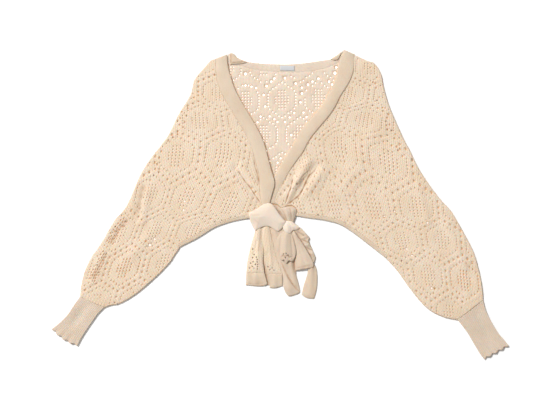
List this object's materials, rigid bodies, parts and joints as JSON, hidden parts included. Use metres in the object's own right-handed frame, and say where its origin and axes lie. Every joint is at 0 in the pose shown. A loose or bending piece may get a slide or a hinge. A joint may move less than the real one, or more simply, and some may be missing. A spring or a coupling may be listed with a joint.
{
  "type": "lace-knit wrap cardigan",
  "caption": "Cropped lace-knit wrap cardigan laid flat, with balloon sleeves, long ribbed cuffs with frilled ends, a plain band round the V and its fronts tied in a knot.",
  "frame": {"origin": "under the middle of the laid-out garment's outline, on the surface that it lies on", "axes": "+X to the viewer's right across the outspread sleeves, +Y up to the neck, +Z off the surface"},
  "size_m": [1.0957, 0.7417, 0.0189],
  "materials": {
    "lace_knit": "soft matt cotton-blend yarn in an openwork lace knit",
    "plain_knit": "soft matt cotton-blend yarn in a fine plain knit",
    "rib_knit": "soft matt cotton-blend yarn in a fine vertical rib",
    "label": "smooth woven tape, bare"
  },
  "bodies": {
    "root": {"back_with_sleeves": "lace_knit", "front_with_sleeve_left": "lace_knit", "front_with_sleeve_right": "lace_knit", "tail_lace": "lace_knit", "tail_middle": "lace_knit", "back_hem": "plain_knit", "front_hem_left": "plain_knit", "front_hem_right": "plain_knit", "back_neck_band": "rib_knit", "band_left": "plain_knit", "band_right": "plain_knit", "band_turn_left": "plain_knit", "band_turn_right": "plain_knit", "cuff_left": "rib_knit", "cuff_right": "rib_knit", "knot_wrap": "plain_knit", "knot_loop": "plain_knit", "knot_nub": "plain_knit", "tail_lace_hem": "plain_knit", "tail_middle_hem": "plain_knit", "tail_strip": "plain_knit", "tail_lobe": "plain_knit", "tail_fan": "plain_knit", "tail_ruffle": "plain_knit", "tail_end": "plain_knit", "neck_label": "label"}
  },
  "joints": []
}
